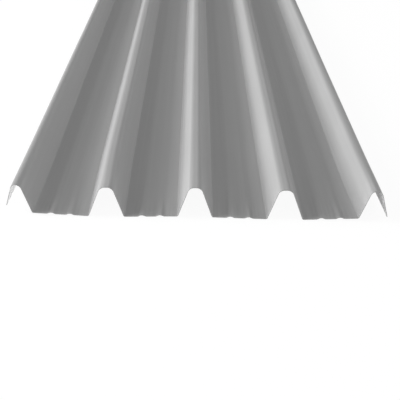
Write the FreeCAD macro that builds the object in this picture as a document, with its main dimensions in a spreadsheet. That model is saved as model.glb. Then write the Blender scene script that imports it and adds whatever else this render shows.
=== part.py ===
import FreeCAD, Part
import math
import os
import Sketcher

# One plastic roofing sheet in an inverted box-rib profile, lying flat with its ribs up.
# The sheet runs along Y, its width is X, and Z is up. Sizes are in millimetres, and the
# heights and widths of the profile are those of its underside.
sizes = {
    "sheet_length": 2400.0,
    "thickness": 1.2,
    "pan_count": 4,
    "rib_spacing": 171.5,
    "rib_height": 60.0,
    # a rib between its sharp corners, at the pans and at its crown, and the roundings of those corners
    "rib_foot_width": 66.6,
    "rib_crown_width": 22.4,
    "shoulder_radius": 12.0,
    "foot_radius": 2.5,
    # the two small stiffening beads along each pan
    "bead_width": 19.0,
    "bead_height": 1.2,
    # the outer leg of each edge rib: how far its sharp corner and its foot lie from the middle
    # of the rib, and how far above the floor it stops
    "edge_shoulder_radius": 11.0,
    "left_crown_reach": 3.5,
    "left_foot_reach": 18.0,
    "left_edge_gap": 16.0,
    "right_crown_reach": 9.8,
    "right_foot_reach": 24.0,
    "right_edge_gap": 5.0,
}
# sizes that follow from the ones above
formulas = {
    "half_spacing": "=rib_spacing / 2",
    "half_foot": "=rib_foot_width / 2",
    "half_crown": "=rib_crown_width / 2",
    "wall_angle": "=atan2(rib_height; half_foot - half_crown)",
    # a rounding gets smaller where the crown has no room for it
    "shoulder_curve": "=min(shoulder_radius; 0.9 * half_crown / tan(wall_angle / 2))",
    "crown_flat_half": "=half_crown - shoulder_curve * tan(wall_angle / 2)",
    "bead_offset": "=(rib_spacing - rib_foot_width) / 6",
    "bead_radius": "=(bead_width ^ 2 / 4 + bead_height ^ 2) / (4 * bead_height)",
    "left_leg_angle": "=atan2(rib_height; left_foot_reach - left_crown_reach)",
    "right_leg_angle": "=atan2(rib_height; right_foot_reach - right_crown_reach)",
    "left_curve_limit": "=0.9 * (crown_flat_half + left_crown_reach) / tan(left_leg_angle / 2)",
    "right_curve_limit": "=0.9 * (crown_flat_half + right_crown_reach) / tan(right_leg_angle / 2)",
    "left_curve": "=min(edge_shoulder_radius; left_curve_limit)",
    "right_curve": "=min(edge_shoulder_radius; right_curve_limit)",
    # how far each leg's lower end lies from the middle of its rib, inside and outside
    "left_leg_end": "=left_foot_reach - left_edge_gap / tan(left_leg_angle)",
    "right_leg_end": "=right_foot_reach - right_edge_gap / tan(right_leg_angle)",
    "left_extent": "=left_leg_end + thickness * sin(left_leg_angle)",
    "right_extent": "=right_leg_end + thickness * sin(right_leg_angle)",
    "pan_row_length": "=rib_spacing * (pan_count - 1)",
    "crown_count": "=pan_count - 1",
    "crown_row_length": "=rib_spacing * (pan_count - 2)",
    "sheet_width": "=rib_spacing * pan_count + left_extent + right_extent",
    "first_pan_place": "=(left_extent - right_extent - pan_row_length) / 2",
}

document = FreeCAD.newDocument("RoofingSheet")
table = document.addObject("Spreadsheet::Sheet", "Sizes")
for row, (name, value) in enumerate(list(sizes.items()) + list(formulas.items()), start=1):
    table.set("A%d" % row, name)
    table.set("B%d" % row, str(value))
    table.setAlias("B%d" % row, name)
document.recompute()


def plain(value):
    return float(getattr(value, "Value", value))


def size(name):
    return plain(table.get(name))


thickness, ribHeight = size("thickness"), size("rib_height")

body = document.addObject("PartDesign::Body", "RoofingSheetBody")
body.Label = "roofing_sheet"
body.AllowCompound = True  # the pans lie apart until the crowns join them
planes = {feature.Role: feature for feature in body.Origin.OriginFeatures}


def newSketch(name, place=None):
    """A sketch of a cross-section, moved sideways by a formula where one is given."""
    sketch = body.newObject("Sketcher::SketchObject", name)
    sketch.AttachmentSupport = [(planes["XZ_Plane"], "")]
    sketch.MapMode = "FlatFace"
    if place:
        sketch.setExpression("AttachmentOffset.Base.x", place)
    return sketch


def bind(sketch, name, formula, kind, *places):
    """A driving dimension of a sketch, tied to the table of sizes."""
    index = sketch.addConstraint(Sketcher.Constraint(kind, *places, plain(sketch.evalExpression(formula))))
    sketch.renameConstraint(index, name)
    sketch.setExpression("Constraints." + name, formula)


def relate(sketch, kind, *places):
    sketch.addConstraint(Sketcher.Constraint(kind, *places))


def drawStrip(sketch, start, moves, side=1):
    """Draws a strip of the sheet's thickness along a path that sets out level from start.

    A move is a straight length, or a (radius, angle) turn whose angle is positive where it
    curls up. The lower line of the strip follows the path, and side -1 draws it leftwards.
    Returns the lower curves and the upper curves, each as its number and those of its two
    ends, and the numbers of the two short lines that close the strip.
    """
    x, z = start
    heading = 0.0
    lower, upper = [], []
    for move in moves:
        points = [(x, z)]
        normals = [(-math.sin(heading), math.cos(heading))]
        if isinstance(move, tuple):
            radius, turn = move
            way = math.copysign(1, turn)
            centreX = x + way * radius * normals[0][0]
            centreZ = z + way * radius * normals[0][1]
            heading += turn
            x = centreX + way * radius * math.sin(heading)
            z = centreZ - way * radius * math.cos(heading)
        else:
            way = 0
            x += move * math.cos(heading)
            z += move * math.sin(heading)
        points.append((x, z))
        normals.append((-math.sin(heading), math.cos(heading)))
        for curves, lift in ((lower, 0.0), (upper, thickness)):
            ends = [
                FreeCAD.Vector(side * (point[0] + lift * normal[0]), point[1] + lift * normal[1], 0)
                for point, normal in zip(points, normals)
            ]
            if not way:
                curves.append((sketch.addGeometry(Part.LineSegment(*ends), False), 1, 2))
                continue
            centre = FreeCAD.Vector(side * centreX, centreZ, 0)
            anticlockwise = way * side > 0
            if not anticlockwise:
                ends.reverse()
            angles = [math.atan2(end.y - centre.y, end.x - centre.x) for end in ends]
            circle = Part.Circle(centre, FreeCAD.Vector(0, 0, 1), (ends[0] - centre).Length)
            number = sketch.addGeometry(Part.ArcOfCircle(circle, *angles), False)
            curves.append((number, 1, 2) if anticlockwise else (number, 2, 1))

    caps = []
    for place, end in ((0, 1), (-1, 2)):
        below, above = ((curves[place][0], curves[place][end]) for curves in (lower, upper))
        cap = sketch.addGeometry(Part.LineSegment(sketch.getPoint(*below), sketch.getPoint(*above)), False)
        relate(sketch, "Coincident", cap, 1, *below)
        relate(sketch, "Coincident", cap, 2, *above)
        caps.append(cap)
    for curves in (lower, upper):
        for before, after in zip(curves, curves[1:]):
            relate(sketch, "Tangent", before[0], before[2], after[0], after[1])
    for move, below, above in zip(moves, lower, upper):
        if isinstance(move, tuple):
            relate(sketch, "Coincident", below[0], 3, above[0], 3)
        else:
            relate(sketch, "Parallel", below[0], above[0])
    relate(sketch, "Vertical", caps[0])
    bind(sketch, "sheet_thickness", "Sizes.thickness", "DistanceY", caps[0], 1, caps[0], 2)
    return lower, upper, caps


def wallGuide(sketch, wall, foot, shoulder):
    """A construction line through the sharp corners of a rib wall, for the wall to lie on."""
    ends = FreeCAD.Vector(foot, 0, 0), FreeCAD.Vector(shoulder, ribHeight, 0)
    guide = sketch.addGeometry(Part.LineSegment(*ends), True)
    relate(sketch, "PointOnObject", guide, 1, -1)
    for end in wall[1:]:
        relate(sketch, "PointOnObject", wall[0], end, guide)
    bind(sketch, "corner_height", "Sizes.rib_height", "DistanceY", -1, 1, guide, 2)
    return guide


def pad(name, sketch):
    feature = body.newObject("PartDesign::Pad", name)
    feature.Profile = sketch
    feature.SideType = "Symmetric"
    feature.setExpression("Length", "Sizes.sheet_length")
    document.recompute()
    body.Tip = feature
    return feature


# from the middle of a pan to the shoulder of the rib on its right
wallAngle = math.radians(size("wall_angle"))
shoulderRadius, footRadius = size("shoulder_curve"), size("foot_radius") + thickness
halfSpacing, halfFoot, halfCrown = size("half_spacing"), size("half_foot"), size("half_crown")
beadOffset, beadWidth, beadRadius = size("bead_offset"), size("bead_width"), size("bead_radius")
beadAngle = math.asin(beadWidth / 4 / beadRadius)
footTangent = footRadius * math.tan(wallAngle / 2)
shoulderTangent = shoulderRadius * math.tan(wallAngle / 2)
halfPan = newSketch("half_pan_section")
lower, upper, caps = drawStrip(halfPan, (0.0, 0.0), [
    beadOffset - beadWidth / 2,
    (beadRadius, beadAngle),
    (beadRadius, -2 * beadAngle),
    (beadRadius, beadAngle),
    halfSpacing - halfFoot - footTangent - beadOffset - beadWidth / 2,
    (footRadius, wallAngle),
    math.hypot(ribHeight, halfFoot - halfCrown) - footTangent - shoulderTangent,
    (shoulderRadius, -wallAngle),
])
innerFlat, beadStart, beadCrest, beadEnd, outerFlat, foot, wall, shoulder = lower
upperFoot = upper[5]
relate(halfPan, "Coincident", innerFlat[0], 1, -1, 1)
relate(halfPan, "Horizontal", innerFlat[0])
relate(halfPan, "Equal", beadStart[0], beadCrest[0])
relate(halfPan, "Equal", beadCrest[0], beadEnd[0])
relate(halfPan, "Horizontal", outerFlat[0])
relate(halfPan, "PointOnObject", outerFlat[0], 2, -1)
relate(halfPan, "Vertical", caps[1])
relate(halfPan, "Vertical", shoulder[0], 3, shoulder[0], shoulder[2])
bind(halfPan, "bead_curve", "Sizes.bead_radius", "Radius", beadCrest[0])
bind(halfPan, "bead_place", "Sizes.bead_offset", "DistanceX", -1, 1, beadCrest[0], 3)
bind(halfPan, "bead_span", "Sizes.bead_width", "DistanceX", beadStart[0], 3, beadEnd[0], 3)
bind(halfPan, "foot_curve", "Sizes.foot_radius", "Radius", upperFoot[0])
bind(halfPan, "shoulder_curve", "Sizes.shoulder_curve", "Radius", shoulder[0])
bind(halfPan, "shoulder_level", "Sizes.rib_height", "DistanceY", -1, 1, shoulder[0], shoulder[2])
guide = wallGuide(halfPan, wall, halfSpacing - halfFoot, halfSpacing - halfCrown)
bind(halfPan, "foot_place", "Sizes.half_spacing - Sizes.half_foot", "DistanceX", -1, 1, guide, 1)
bind(halfPan, "corner_place", "Sizes.half_spacing - Sizes.half_crown", "DistanceX", -1, 1, guide, 2)
halfPanPad = pad("half_pan", halfPan)

# the other half of the pan mirrors it, and whole pans repeat across the sheet
pans = body.newObject("PartDesign::MultiTransform", "pans")
mirror = body.newObject("PartDesign::Mirrored", "pan_mirror")
mirror.MirrorPlane = (planes["YZ_Plane"], [""])
panRow = body.newObject("PartDesign::LinearPattern", "pan_row")
panRow.Direction = (planes["X_Axis"], [""])
panRow.setExpression("Occurrences", "Sizes.pan_count")
panRow.setExpression("Length", "Sizes.pan_row_length")
pans.Originals = [halfPanPad]
pans.Transformations = [mirror, panRow]
document.recompute()
body.Tip = pans

# the flat crowns of the ribs between the pans
crownSketch = newSketch("crown_section", "Sizes.half_spacing")
crownFlatHalf = size("crown_flat_half")
lower, upper, caps = drawStrip(crownSketch, (-crownFlatHalf, ribHeight), [2 * crownFlatHalf])
crown = lower[0]
relate(crownSketch, "Vertical", caps[1])
relate(crownSketch, "Symmetric", crown[0], 1, crown[0], 2, -2)
bind(crownSketch, "crown_flat", "2 * Sizes.crown_flat_half", "DistanceX", crown[0], 1, crown[0], 2)
bind(crownSketch, "crown_level", "Sizes.rib_height", "DistanceY", -1, 1, crown[0], 1)
crownPad = pad("crown", crownSketch)
crownRow = body.newObject("PartDesign::LinearPattern", "crown_row")
crownRow.Direction = (planes["X_Axis"], [""])
crownRow.setExpression("Occurrences", "Sizes.crown_count")
crownRow.setExpression("Length", "Sizes.crown_row_length")
crownRow.Originals = [crownPad]
document.recompute()
body.Tip = crownRow


def edgeLeg(edge, side, place):
    """The outer part of an edge rib: the rest of its crown and a leg that stops short of the floor."""
    crownReach, footReach = size(edge + "_crown_reach"), size(edge + "_foot_reach")
    radius = size(edge + "_curve")
    angle = math.radians(size(edge + "_leg_angle"))
    tangent = radius * math.tan(angle / 2)
    sketch = newSketch(edge + "_edge_section", place)
    lower, upper, caps = drawStrip(sketch, (-crownFlatHalf, ribHeight), [
        crownFlatHalf + crownReach - tangent,
        (radius, -angle),
        (ribHeight - size(edge + "_edge_gap")) / math.sin(angle) - tangent,
    ], side)
    crown, shoulder, leg = lower
    relate(sketch, "Horizontal", crown[0])
    relate(sketch, "Perpendicular", caps[1], leg[0])
    bind(sketch, "crown_level", "Sizes.rib_height", "DistanceY", -1, 1, crown[0], 1)
    bind(sketch, "shoulder_curve", "Sizes.%s_curve" % edge, "Radius", shoulder[0])
    bind(sketch, "edge_gap", "Sizes.%s_edge_gap" % edge, "DistanceY", -1, 1, leg[0], 2)
    guide = wallGuide(sketch, leg, side * footReach, side * crownReach)
    outward = (
        ("crown_start", "Sizes.crown_flat_half", (crown[0], 1), (-1, 1)),
        ("foot_place", "Sizes.%s_foot_reach" % edge, (-1, 1), (guide, 1)),
        ("corner_place", "Sizes.%s_crown_reach" % edge, (-1, 1), (guide, 2)),
    )
    for label, formula, inner, outer in outward:
        ends = inner + outer if side > 0 else outer + inner
        bind(sketch, label, formula, "DistanceX", *ends)
    pad(edge + "_edge", sketch)
    return sketch


leftEdge = edgeLeg("left", -1, "-Sizes.half_spacing")
rightEdge = edgeLeg("right", 1, "Sizes.pan_row_length + Sizes.half_spacing")

# the middle of the whole width comes to the middle of the frame
body.setExpression("Placement.Base.x", "Sizes.first_pan_place")
document.recompute()

for item in document.Objects:
    if "Invalid" in item.State or "Error" in item.State:
        raise SystemExit("%s did not build: %s" % (item.Label, item.State))
for sketch in (halfPan, crownSketch, leftEdge, rightEdge):
    if not sketch.FullyConstrained:
        raise SystemExit("%s is not fully constrained" % sketch.Label)
shape = body.Shape
box = shape.BoundBox
whole = math.isclose(box.XLength, size("sheet_width"), abs_tol=0.01)
if shape.isNull() or not shape.isValid() or len(shape.Solids) != 1 or not whole:
    raise SystemExit("the sheet is not one whole, sound solid")
print("box", [round(value, 3) for value in (box.XMin, box.XMax, box.YMin, box.YMax, box.ZMin, box.ZMax)])
print("volume in cubic millimetres %.1f, faces %d" % (shape.Volume, len(shape.Faces)))
os.makedirs("parts", exist_ok=True)
shape.Solids[0].exportStep("parts/roofing_sheet.step")
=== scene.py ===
import math

import bmesh
import bpy
from mathutils import Matrix, Vector, noise


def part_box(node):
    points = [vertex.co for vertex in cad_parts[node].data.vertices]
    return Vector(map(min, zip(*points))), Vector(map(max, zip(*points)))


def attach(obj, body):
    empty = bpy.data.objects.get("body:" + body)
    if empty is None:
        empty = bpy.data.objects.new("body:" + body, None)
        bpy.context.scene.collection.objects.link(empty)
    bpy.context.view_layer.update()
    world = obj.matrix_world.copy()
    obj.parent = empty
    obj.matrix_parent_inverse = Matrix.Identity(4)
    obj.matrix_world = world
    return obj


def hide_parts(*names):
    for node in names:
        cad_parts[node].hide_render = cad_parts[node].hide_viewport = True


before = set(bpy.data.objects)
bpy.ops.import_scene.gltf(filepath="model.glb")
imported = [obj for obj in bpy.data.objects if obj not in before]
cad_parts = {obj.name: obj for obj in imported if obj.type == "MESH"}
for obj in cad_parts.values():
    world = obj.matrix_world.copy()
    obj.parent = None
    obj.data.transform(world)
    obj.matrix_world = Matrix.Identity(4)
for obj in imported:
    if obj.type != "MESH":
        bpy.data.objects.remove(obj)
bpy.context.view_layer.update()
lowCorner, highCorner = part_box("roofing_sheet")
print("frame loaded")


def newMaterial(name):
    material = bpy.data.materials.new(name)
    material.use_nodes = True
    material.node_tree.nodes.clear()
    return material, material.node_tree.nodes, material.node_tree.links


def addNode(nodes, kind, place, **settings):
    node = nodes.new(kind)
    node.location = place
    for name, value in settings.items():
        setattr(node, name, value)
    return node


# the sheet's own sizes in metres; its length and its outer edges come from the frame
sheetSizes = {
    "ribSpacing": 0.1715,
    "ribHeight": 0.060,
    "footWidth": 0.0666,
    "crownWidth": 0.0224,
    "shoulderRadius": 0.0120,
    "footRadius": 0.0037,
    "thickness": 0.0012,
    "panCount": 4,
    "middleRib": -0.004342,          # the middle rib stands a little left of the frame's middle
    "leftLeg": (0.0035, 0.018, 0.016),  # corner and foot from the rib's middle, height where the leg stops
    "rightLeg": (0.0098, 0.024, 0.005),
    "edgeRadii": (0.0072, 0.0110),   # left and right
    "beadReach": 0.00704,            # bead corner to bead middle
    "beadHeight": 0.0012,
    "beadPeak": 1.54,                # height of the bead's sharp corner, before it is rounded
    "beadRounding": (0.66, 0.34),    # shares of the reach that the crest and the foot take
    "shoulderSegments": 10,
    "footSegments": 5,
    "beadSegments": (6, 3),
    "rows": 110,
    "endRows": 8,
    "firstRow": 0.004,               # distance of the first row from the cut end
    "rowGrowth": 1.5,
}

# how the plastic has moved since it was made
sheetWear = {
    "beadMiddle": 0.13,              # share of the bead's height that is left along the middle
    "beadEnd": 2.2,                  # and right at the cut ends, where the saw has raised it
    "beadFade": 0.065,               # metres from the end over which it settles
    "beadZone": 0.2,                 # half the width that holds the beads, as a share of the rib spacing
    "beadMargin": 1.3,               # what lies lower than this many bead heights belongs to a bead
    "panWave": 0.0007,
    "panWaveScale": (7, 2.2),        # across and along
    "wallWave": 0.0006,
    "wallWaveScale": (9, 1.6),
    "wallWaveStart": 0.02,           # height at which a wall has its whole wave
    "seed": 4.7,
    # how far each rib foot is lifted and pushed sideways at the cut ends, from left to right
    "frontLift": (0.0044, 0.0, 0.0, 0.0024, 0.0018, 0.0, 0.0, 0.0050),
    "frontShift": (-0.0003, 0.0022, 0.0026, 0.0008, -0.0006, 0.0, 0.0012, 0.0040),
    "backLift": (0.0006, 0.0022, 0.0014, 0.0, 0.0018, 0.0030, 0.0010, 0.0),
    "backShift": (0.0010, 0.0, -0.0014, 0.0012, 0.0, 0.0020, -0.0008, 0.0),
    # and how far each crown is lifted there
    "frontCrown": (0.0010, -0.0010, 0.0015, -0.0002, 0.0010),
    "backCrown": (0.0, 0.0008, -0.0008, 0.0, 0.0006),
    "endFade": 0.16,
    "edgeShare": 0.2,                # share of the sideways push outside the edge ribs' middles
    "rightDroop": 0.085,             # slope of the right edge rib's crown, down towards its leg
}


def walkAcross(bm, start, steps):
    # the section is drawn like a pen stroke, one extruded point after another
    vert = bm.verts.new(start)
    marks = [(vert, "end")]
    for dx, dz, kind in steps:
        vert = bmesh.ops.extrude_vert_indiv(bm, verts=[vert])["verts"][0]
        bmesh.ops.translate(bm, verts=[vert], vec=(dx, 0, dz))
        marks.append((vert, kind))
    return marks


def longEdges(marks, kind):
    edges = []
    for vert, name in marks:
        if name == kind:
            edges += [edge for edge in vert.link_edges if edge.verts[0].co.y != edge.verts[1].co.y]
    return edges


def roundOff(bm, marks, kind, offset, segments):
    bmesh.ops.bevel(bm, geom=longEdges(marks, kind), offset=offset, offset_type="OFFSET", segments=segments,
                    profile=0.5, affect="EDGES", clamp_overlap=False, material=-1)


def buildSection(sizes):
    bm = bmesh.new()
    height, half, crown = sizes["ribHeight"], sizes["footWidth"] / 2, sizes["crownWidth"] / 2
    pan = sizes["ribSpacing"] - sizes["footWidth"]
    reach, tall = sizes["beadReach"], sizes["beadHeight"] * sizes["beadPeak"]
    flat = pan / 3 - reach
    leftCorner, leftFoot, leftGap = sizes["leftLeg"]
    rightCorner, rightFoot, rightGap = sizes["rightLeg"]
    leftRib = sizes["middleRib"] - 2 * sizes["ribSpacing"]
    leftSlope = (leftFoot - leftCorner) / height
    rightSlope = (rightFoot - rightCorner) / height
    steps = [((height - leftGap) * leftSlope, height - leftGap, "leftShoulder"),
             (leftCorner + crown, 0, "shoulder")]
    for number in range(sizes["panCount"]):
        steps += [(half - crown, -height, "foot"),
                  (flat, 0, "beadFoot"),
                  (reach, tall, "beadCrest"),
                  (reach, -tall, "beadFoot"),
                  (pan / 3 - 2 * reach, 0, "beadFoot"),
                  (reach, tall, "beadCrest"),
                  (reach, -tall, "beadFoot"),
                  (flat, 0, "foot"),
                  (half - crown, height, "shoulder")]
        if number < sizes["panCount"] - 1:
            steps.append((2 * crown, 0, "shoulder"))
    steps += [(crown + rightCorner, 0, "rightShoulder"),
              ((height - rightGap) * rightSlope, rightGap - height, "end")]
    start = (leftRib - leftFoot + leftGap * leftSlope, lowCorner.y, leftGap)
    return bm, walkAcross(bm, start, steps)


def endDrift(x, drifts, sizes):
    # how far the cut end has moved, between the two nearest rib feet
    feet = []
    for number in range(sizes["panCount"]):
        middle = sizes["middleRib"] + (number - 1.5) * sizes["ribSpacing"]
        span = (sizes["ribSpacing"] - sizes["footWidth"]) / 2
        feet += [middle - span, middle + span]
    if x <= feet[0]:
        return drifts[0]
    for left, right, before, after in zip(feet, feet[1:], drifts, drifts[1:]):
        if x <= right:
            return before + (after - before) * (x - left) / (right - left)
    return drifts[-1]


def wave(x, y, scale, seed):
    return noise.noise(Vector((x * scale[0], y * scale[1], seed)))


def settleSheet(bm, sizes, wear):
    beadTop = sizes["beadHeight"] * wear["beadMargin"]
    edgeRib = 2 * sizes["ribSpacing"]  # from the middle rib to an edge rib
    for vert in bm.verts:
        x, y, z = vert.co
        fromMiddle = x - sizes["middleRib"]
        fromFront, fromBack = y - lowCorner.y, highCorner.y - y
        ribsAcross = fromMiddle / sizes["ribSpacing"]
        if z < beadTop and abs(ribsAcross % 1 - 0.5) < wear["beadZone"]:
            raised = math.exp(-min(fromFront, fromBack) / wear["beadFade"])
            vert.co.z *= wear["beadMiddle"] + (wear["beadEnd"] - wear["beadMiddle"]) * raised
        low = max(0.0, 1 - z / sizes["ribHeight"])
        pushed = 1 if abs(fromMiddle) < edgeRib else wear["edgeShare"]
        rib = min(sizes["panCount"], max(0, round(ribsAcross) + sizes["panCount"] // 2))
        pastEdgeRib = fromMiddle - edgeRib + sizes["crownWidth"] / 3
        vert.co.z -= wear["rightDroop"] * max(0.0, pastEdgeRib) * (1 - low)
        vert.co.z += wear["panWave"] * (0.5 + 0.5 * wave(x, y, wear["panWaveScale"], wear["seed"])) * low
        side = wave(x, y, wear["wallWaveScale"], wear["seed"] + 8)
        vert.co.x += wear["wallWave"] * side * min(1.0, z / wear["wallWaveStart"])
        for name, distance in (("front", fromFront), ("back", fromBack)):
            share = math.exp(-(distance / wear["endFade"]) ** 2)
            vert.co.z += endDrift(x, wear[name + "Lift"], sizes) * share * low
            vert.co.z += wear[name + "Crown"][rib] * share * (1 - low)
            vert.co.x += endDrift(x, wear[name + "Shift"], sizes) * share * pushed


def cutRows(bm, sizes):
    # rows across the sheet, closer together at the cut ends
    length = highCorner.y - lowCorner.y
    cuts = [sizes["firstRow"] * number ** sizes["rowGrowth"] for number in range(1, sizes["endRows"])]
    last, count = cuts[-1], sizes["rows"]
    ends = [length - cut for cut in cuts]
    cuts += [last + (length - 2 * last) * number / count for number in range(1, count)]
    for cut in cuts + ends:
        bmesh.ops.bisect_plane(bm, geom=bm.verts[:] + bm.edges[:] + bm.faces[:], dist=1e-6,
                               plane_co=(0, lowCorner.y + cut, 0), plane_no=(0, 1, 0))
    bmesh.ops.remove_doubles(bm, verts=bm.verts, dist=1e-6)


def buildSheet(sizes, wear):
    bm, marks = buildSection(sizes)
    extruded = bmesh.ops.extrude_edge_only(bm, edges=bm.edges[:])["geom"]
    fresh = [item for item in extruded if isinstance(item, bmesh.types.BMVert)]
    bmesh.ops.translate(bm, verts=fresh, vec=(0, highCorner.y - lowCorner.y, 0))

    wallAngle = math.atan2(sizes["ribHeight"], (sizes["footWidth"] - sizes["crownWidth"]) / 2)
    rounds = sizes["shoulderSegments"]
    roundOff(bm, marks, "shoulder", sizes["shoulderRadius"] * math.tan(wallAngle / 2), rounds)
    for side, radius in zip(("left", "right"), sizes["edgeRadii"]):
        corner, foot = sizes[side + "Leg"][:2]
        legAngle = math.atan2(sizes["ribHeight"], foot - corner)
        roundOff(bm, marks, side + "Shoulder", radius * math.tan(legAngle / 2), rounds)
    roundOff(bm, marks, "foot", sizes["footRadius"] * math.tan(wallAngle / 2), sizes["footSegments"])
    for kind, share, rounds in zip(("beadCrest", "beadFoot"), sizes["beadRounding"], sizes["beadSegments"]):
        roundOff(bm, marks, kind, sizes["beadReach"] * share, rounds)
    cutRows(bm, sizes)
    settleSheet(bm, sizes, wear)
    bmesh.ops.recalc_face_normals(bm, faces=bm.faces)
    if sum(face.normal.z * face.calc_area() for face in bm.faces) < 0:
        bmesh.ops.reverse_faces(bm, faces=bm.faces)
    for face in bm.faces:
        face.smooth = True
    mesh = bpy.data.meshes.new("pvcSheet")
    bm.to_mesh(mesh)
    bm.free()
    sheet = bpy.data.objects.new("pvcSheet", mesh)
    bpy.context.scene.collection.objects.link(sheet)
    shell = sheet.modifiers.new("wallThickness", "SOLIDIFY")
    shell.thickness = sizes["thickness"]
    shell.offset = 1
    shell.use_even_offset = True
    shell.material_offset = 1
    shell.material_offset_rim = 2
    return sheet


sheet = buildSheet(sheetSizes, sheetWear)
print("sheet modelled")


# each pattern has its scale across, along and up the sheet, its detail, and how far it darkens
# and lightens the plastic
plasticLook = {
    "dieLines": {"scale": (260, 0.8, 260), "detail": 3, "shade": (-0.032, 0.032)},
    "bands": {"scale": (60, 0.35, 60), "detail": 3, "shade": (-0.03, 0.03)},
    "clouds": {"scale": (6, 3, 6), "detail": 4, "shade": (-0.025, 0.025)},
    "dust": {"scale": (900, 700, 900), "detail": 2, "shade": (-0.008, 0.008)},
    "scuffs": {"scale": (150, 5, 30), "detail": 3, "shade": (-0.07, 0.09)},
    "noiseRoughness": 0.55,
    "noiseRange": (0.3, 0.7),
    "sawnLength": 0.11,              # how far in from the cut ends the scuffs and the painted bead highlight reach
    "paintedBeadHighlight": 0.13,               # painted highlight on the bead crests
    "paintedHighlightWidth": 0.9,           # as a share of the bead's reach
    # painted shade on the crown tops, which darkens them
    "paintedCrownShade": (-0.09, -0.15),
    "crownHeights": (0.0575, 0.0608),  # between these heights the painted shade on the crown tops sets in
    "roughness": (0.50, 0.60),
    "lineRoughness": (-0.03, 0.03),
    "lineHeight": 0.6,
}


# what every face of the plastic shares: die lines, clouding, dust, scuffed ends, a painted highlight on the
# bead crests near the ends and painted shade on the crown tops
def buildPlasticGroup(look, sizes):
    group = bpy.data.node_groups.new("extrudedPlastic", "ShaderNodeTree")
    # the second input switches on the painted bead highlight and the painted crown shade
    for name, kind in (("Strength", "Float"), ("PaintedLightAndShade", "Float"), ("Colour", "Color")):
        group.interface.new_socket(name, in_out="INPUT", socket_type="NodeSocket" + kind)
    for name, kind in (("Colour", "Color"), ("Roughness", "Float"), ("Height", "Float")):
        group.interface.new_socket(name, in_out="OUTPUT", socket_type="NodeSocket" + kind)
    nodes, links = group.nodes, group.links
    source = addNode(nodes, "NodeGroupInput", (-1400, 0))
    sink = addNode(nodes, "NodeGroupOutput", (900, 0))
    place = addNode(nodes, "ShaderNodeTexCoord", (-1400, 400))
    parts = addNode(nodes, "ShaderNodeSeparateXYZ", (-1150, -700))
    links.new(place.outputs["Object"], parts.inputs["Vector"])

    def streaks(name, y):
        mapping = addNode(nodes, "ShaderNodeMapping", (-1150, y))
        mapping.inputs["Scale"].default_value = look[name]["scale"]
        texture = addNode(nodes, "ShaderNodeTexNoise", (-950, y))
        texture.inputs["Scale"].default_value = 1
        texture.inputs["Detail"].default_value = look[name]["detail"]
        texture.inputs["Roughness"].default_value = look["noiseRoughness"]
        links.new(place.outputs["Object"], mapping.inputs["Vector"])
        links.new(mapping.outputs["Vector"], texture.inputs["Vector"])
        return texture.outputs["Fac"]

    def remap(value, before, after, x, y, kind="LINEAR"):
        node = addNode(nodes, "ShaderNodeMapRange", (x, y), interpolation_type=kind)
        for name, number in zip(("From Min", "From Max", "To Min", "To Max"), before + after):
            node.inputs[name].default_value = number
        links.new(value, node.inputs["Value"])
        return node.outputs["Result"]

    def spread(value, after, y):
        return remap(value, look["noiseRange"], after, -650, y)

    def combine(kind, a, b, x, y):
        node = addNode(nodes, "ShaderNodeMath", (x, y), operation=kind)
        for socket, value in zip(node.inputs, (a, b)):
            if isinstance(value, (int, float)):
                socket.default_value = value
            else:
                links.new(value, socket)
        return node.outputs[0]

    patterns = {name: streaks(name, y) for name, y in (
        ("dieLines", 500), ("bands", 200), ("clouds", -100), ("dust", -400), ("scuffs", -1500))}
    strength, paintedLightAndShade = source.outputs["Strength"], source.outputs["PaintedLightAndShade"]
    shade = spread(patterns["dieLines"], look["dieLines"]["shade"], 500)
    for x, name in zip((-400, -200, 0), ("bands", "clouds", "dust")):
        shade = combine("ADD", shade, spread(patterns[name], look[name]["shade"], x + 650), x, 300)
    shade = combine("MULTIPLY", shade, strength, 200, 200)

    # the saw has scuffed the ends
    fromCentre = combine("ABSOLUTE", parts.outputs["Y"], 0, -850, -1250)
    reach = (highCorner.y - look["sawnLength"], highCorner.y)
    sawn = remap(fromCentre, reach, (0, 1), -650, -1250, "SMOOTHSTEP")
    scuffs = spread(patterns["scuffs"], look["scuffs"]["shade"], -1500)
    scuffed = combine("MULTIPLY", sawn, scuffs, -200, -1300)
    shade = combine("ADD", shade, combine("MULTIPLY", scuffed, strength, 0, -1300), 150, 0)

    # painted highlight: the bead crests near the cut ends are lightened
    spacing = sizes["ribSpacing"]
    fromPan = combine("SUBTRACT", parts.outputs["X"], sizes["middleRib"] + spacing / 2, -1000, -1700)
    fromPan = combine("PINGPONG", fromPan, spacing / 2, -850, -1700)
    fromBead = combine("SUBTRACT", fromPan, (spacing - sizes["footWidth"]) / 6, -700, -1700)
    fromBead = combine("ABSOLUTE", fromBead, 0, -550, -1700)
    width = (sizes["beadReach"] * look["paintedHighlightWidth"], 0)
    crest = remap(fromBead, width, (0, look["paintedBeadHighlight"]), -400, -1700, "SMOOTHSTEP")
    beadHighlightMask = combine("MULTIPLY", crest, sawn, -200, -1700)
    shade = combine("ADD", shade, combine("MULTIPLY", beadHighlightMask, paintedLightAndShade, 0, -1700), 200, -50)

    # painted shade: the crown tops are darkened
    crown = remap(parts.outputs["Z"], look["crownHeights"], (0, 1), -650, -900, "SMOOTHSTEP")
    crownShadeMask = combine("MULTIPLY", crown, spread(patterns["bands"], look["paintedCrownShade"], -1000), -200, -1100)
    shade = combine("ADD", shade, combine("MULTIPLY", crownShadeMask, paintedLightAndShade, 0, -1100), 250, 100)
    shade = combine("ADD", shade, 1.0, 350, 200)
    tint = addNode(nodes, "ShaderNodeVectorMath", (600, 200), operation="SCALE")
    links.new(source.outputs["Colour"], tint.inputs[0])
    links.new(shade, tint.inputs["Scale"])
    links.new(tint.outputs["Vector"], sink.inputs["Colour"])

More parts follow.
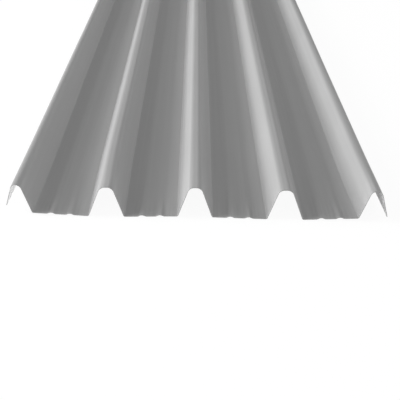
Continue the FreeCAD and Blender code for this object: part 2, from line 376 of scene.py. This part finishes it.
    cloudy = spread(patterns["clouds"], look["roughness"], -500)
    lined = spread(patterns["dieLines"], look["lineRoughness"], -700)
    links.new(combine("ADD", cloudy, lined, -200, -500), sink.inputs["Roughness"])
    lines = combine("MULTIPLY", patterns["dieLines"], look["lineHeight"], -200, -800)
    links.new(combine("ADD", lines, patterns["bands"], 0, -800), sink.inputs["Height"])
    return group


plasticGroup = buildPlasticGroup(plasticLook, sheetSizes)

# only the grey top gets the painted bead highlight and the painted crown shade
sheetFinishes = {
    "topGrey": {"colour": (0.33, 0.33, 0.33, 1), "strength": 1.0, "paintedLightAndShade": 1.0, "bump": 0.10},
    "underWhite": {"colour": (0.88, 0.88, 0.88, 1), "strength": 0.7, "paintedLightAndShade": 0.0, "bump": 0.08},
    "cutEdge": {"colour": (0.38, 0.38, 0.38, 1), "strength": 1.3, "paintedLightAndShade": 0.0, "bump": 0.15},
}


def buildPlastic(name, finish):
    material, nodes, links = newMaterial(name)
    plastic = addNode(nodes, "ShaderNodeGroup", (-500, 0), node_tree=plasticGroup)
    plastic.inputs["Strength"].default_value = finish["strength"]
    plastic.inputs["PaintedLightAndShade"].default_value = finish["paintedLightAndShade"]
    plastic.inputs["Colour"].default_value = finish["colour"]
    bump = addNode(nodes, "ShaderNodeBump", (-250, -200))
    bump.inputs["Strength"].default_value = finish["bump"]
    bump.inputs["Distance"].default_value = 0.0002
    shader = addNode(nodes, "ShaderNodeBsdfPrincipled", (0, 0))
    shader.inputs["IOR"].default_value = 1.52
    shader.inputs["Specular IOR Level"].default_value = 0.35
    output = addNode(nodes, "ShaderNodeOutputMaterial", (300, 0))
    links.new(plastic.outputs["Colour"], shader.inputs["Base Color"])
    links.new(plastic.outputs["Roughness"], shader.inputs["Roughness"])
    links.new(plastic.outputs["Height"], bump.inputs["Height"])
    links.new(bump.outputs["Normal"], shader.inputs["Normal"])
    links.new(shader.outputs["BSDF"], output.inputs["Surface"])
    return material


for name, finish in sheetFinishes.items():
    sheet.data.materials.append(buildPlastic(name, finish))
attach(sheet, "root")
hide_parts("roofing_sheet")
print("plastic finished")

floorLook = {"size": 30.0, "drop": 0.0002, "colour": (0.92, 0.92, 0.92, 1), "plainShare": 0.94}


def buildFloor(look):
    bm = bmesh.new()
    bmesh.ops.create_grid(bm, x_segments=1, y_segments=1, size=look["size"])
    bmesh.ops.translate(bm, verts=bm.verts, vec=(0, 0, -look["drop"]))
    mesh = bpy.data.meshes.new("studioFloor")
    bm.to_mesh(mesh)
    bm.free()
    floor = bpy.data.objects.new("studioFloor", mesh)
    bpy.context.scene.collection.objects.link(floor)
    material, nodes, links = newMaterial("whiteFloor")
    path = addNode(nodes, "ShaderNodeLightPath", (-700, 200))
    seen = addNode(nodes, "ShaderNodeMath", (-450, 200), operation="MAXIMUM")
    share = addNode(nodes, "ShaderNodeMath", (-250, 200), operation="MULTIPLY")
    share.inputs[1].default_value = look["plainShare"]
    paint = addNode(nodes, "ShaderNodeBsdfDiffuse", (-250, 0))
    paint.inputs["Color"].default_value = look["colour"]
    plain = addNode(nodes, "ShaderNodeEmission", (-250, -150))
    plain.inputs["Color"].default_value = (1, 1, 1, 1)
    plain.inputs["Strength"].default_value = 1
    mixed = addNode(nodes, "ShaderNodeMixShader", (0, 0))
    output = addNode(nodes, "ShaderNodeOutputMaterial", (200, 0))
    links.new(path.outputs["Is Camera Ray"], seen.inputs[0])
    links.new(path.outputs["Is Glossy Ray"], seen.inputs[1])
    links.new(seen.outputs[0], share.inputs[0])
    links.new(share.outputs[0], mixed.inputs["Fac"])
    links.new(paint.outputs["BSDF"], mixed.inputs[1])
    links.new(plain.outputs["Emission"], mixed.inputs[2])
    links.new(mixed.outputs["Shader"], output.inputs["Surface"])
    mesh.materials.append(material)
    return floor


buildFloor(floorLook)

studioLights = {
    "worldStrength": 0.44,
    "aim": (0, -0.2, 0),
    "wide": 3.4,
    "tall": 2.4,
    "lamps": {
        "keyLeft": {"place": (-6.2, -0.2, 2.26), "power": 460},
        "keyHigh": {"place": (-5.08, -1.85, 3.88), "power": 185},
        "fillRight": {"place": (5.58, -0.69, 3.5), "power": 132},
    },
}


def buildLights(lights):
    world = bpy.data.worlds.new("studioWorld")
    world.use_nodes = True
    nodes, links = world.node_tree.nodes, world.node_tree.links
    nodes.clear()
    path = addNode(nodes, "ShaderNodeLightPath", (-600, 200))
    seen = addNode(nodes, "ShaderNodeMath", (-400, 200), operation="MAXIMUM")
    soft = addNode(nodes, "ShaderNodeBackground", (-200, 0))
    soft.inputs["Color"].default_value = (1, 1, 1, 1)
    soft.inputs["Strength"].default_value = lights["worldStrength"]
    plain = addNode(nodes, "ShaderNodeBackground", (-200, -150))
    plain.inputs["Color"].default_value = (1, 1, 1, 1)
    plain.inputs["Strength"].default_value = 1
    mixed = addNode(nodes, "ShaderNodeMixShader", (0, 0))
    output = addNode(nodes, "ShaderNodeOutputWorld", (200, 0))
    links.new(path.outputs["Is Camera Ray"], seen.inputs[0])
    links.new(path.outputs["Is Transmission Ray"], seen.inputs[1])
    links.new(seen.outputs[0], mixed.inputs["Fac"])
    links.new(soft.outputs["Background"], mixed.inputs[1])
    links.new(plain.outputs["Background"], mixed.inputs[2])
    links.new(mixed.outputs["Shader"], output.inputs["Surface"])
    bpy.context.scene.world = world
    for name, choice in lights["lamps"].items():
        lamp = bpy.data.lights.new(name, "AREA")
        lamp.shape = "RECTANGLE"
        lamp.size = lights["wide"]
        lamp.size_y = lights["tall"]
        lamp.energy = choice["power"]
        holder = bpy.data.objects.new(name, lamp)
        holder.location = choice["place"]
        toSheet = Vector(lights["aim"]) - Vector(choice["place"])
        holder.rotation_euler = toSheet.to_track_quat("-Z", "Y").to_euler()
        bpy.context.scene.collection.objects.link(holder)


buildLights(studioLights)

cameraView = {
    "place": (-0.01292, -2.94981, 0.76790),
    "pitch": 22.65,
    "yaw": 0.58,
    "roll": -1.28,
    "lens": 90.0,
}


def buildCamera(view):
    pitch, yaw, roll = (math.radians(view[name]) for name in ("pitch", "yaw", "roll"))
    ahead = Vector((math.sin(yaw) * math.cos(pitch), math.cos(yaw) * math.cos(pitch), -math.sin(pitch)))
    level = Vector((math.cos(yaw), -math.sin(yaw), 0))
    down = ahead.cross(level)
    right = level * math.cos(roll) + down * math.sin(roll)
    up = level * math.sin(roll) - down * math.cos(roll)
    camera = bpy.data.objects.new("camera", bpy.data.cameras.new("camera"))
    camera.data.lens = view["lens"]
    camera.data.sensor_width = 36
    camera.data.clip_end = 100
    turn = Matrix((right, up, -ahead)).transposed().to_4x4()
    camera.matrix_world = Matrix.Translation(view["place"]) @ turn
    bpy.context.scene.collection.objects.link(camera)
    bpy.context.scene.camera = camera


buildCamera(cameraView)
bpy.context.scene.view_settings.view_transform = "Standard"
print("studio set")

bpy.context.view_layer.update()
